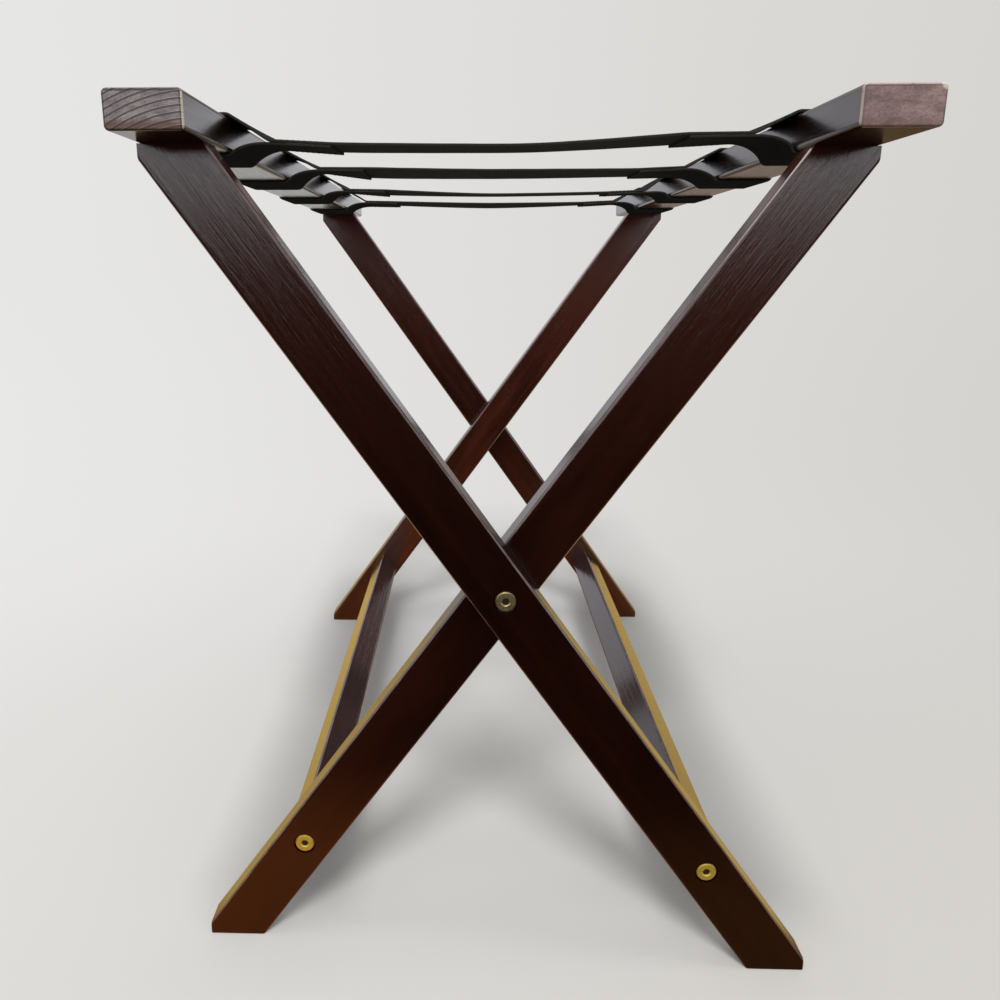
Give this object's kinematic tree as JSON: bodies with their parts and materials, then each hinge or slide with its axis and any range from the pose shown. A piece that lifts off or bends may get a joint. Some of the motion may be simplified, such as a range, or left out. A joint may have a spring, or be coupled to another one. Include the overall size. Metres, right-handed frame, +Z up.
{
  "type": "folding luggage rack",
  "caption": "Folding wooden luggage rack: crossed legs turn on bolted pivots and carry two flat rails, with black webbing straps between the rails to hold a case.",
  "frame": {"origin": "on the floor at the middle of the rack", "axes": "+Z up, +Y along the rails, +X across the rack towards the inner frame's rail"},
  "size_m": [0.3888, 0.6, 0.5199],
  "materials": {
    "rail_wood": "dark mahogany stain under clear gloss lacquer, open end grain",
    "leg_wood": "dark mahogany stain under clear gloss lacquer",
    "beech": "plain turned dowel",
    "brass": "polished, lacquered",
    "antique_brass": "dulled antique brass",
    "nylon": "plain moulded washer",
    "webbing": "black woven webbing, sewn with black thread"
  },
  "bodies": {
    "outer_frame": {"outer_rail": "rail_wood", "outer_leg_front": "leg_wood", "outer_leg_rear": "leg_wood", "outer_stretcher": "leg_wood", "outer_dowels_front": "beech", "outer_dowels_rear": "beech", "outer_stretcher_bolt_front": "brass", "outer_stretcher_bolt_rear": "brass", "outer_insert_front": "brass", "outer_insert_rear": "brass", "pivot_washer_front": "nylon", "pivot_washer_rear": "nylon", "strap_1": "webbing", "strap_2": "webbing", "strap_3": "webbing", "strap_4": "webbing"},
    "inner_frame": {"inner_rail": "rail_wood", "inner_leg_front": "leg_wood", "inner_leg_rear": "leg_wood", "inner_stretcher": "leg_wood", "inner_dowels_front": "beech", "inner_dowels_rear": "beech", "inner_stretcher_bolt_front": "brass", "inner_stretcher_bolt_rear": "brass", "inner_insert_front": "brass", "inner_insert_rear": "brass", "pivot_bolt_front": "antique_brass", "pivot_bolt_rear": "antique_brass", "pivot_nut_front": "antique_brass", "pivot_nut_rear": "antique_brass"}
  },
  "joints": [
    {"name": "fold", "type": "hinge", "parent": "outer_frame", "child": "inner_frame", "pos_m": [0, 0, 0.2495], "axis": [0, -1, 0], "range_deg": [0, 56], "deforming": ["strap_1", "strap_2", "strap_3", "strap_4"]}
  ]
}
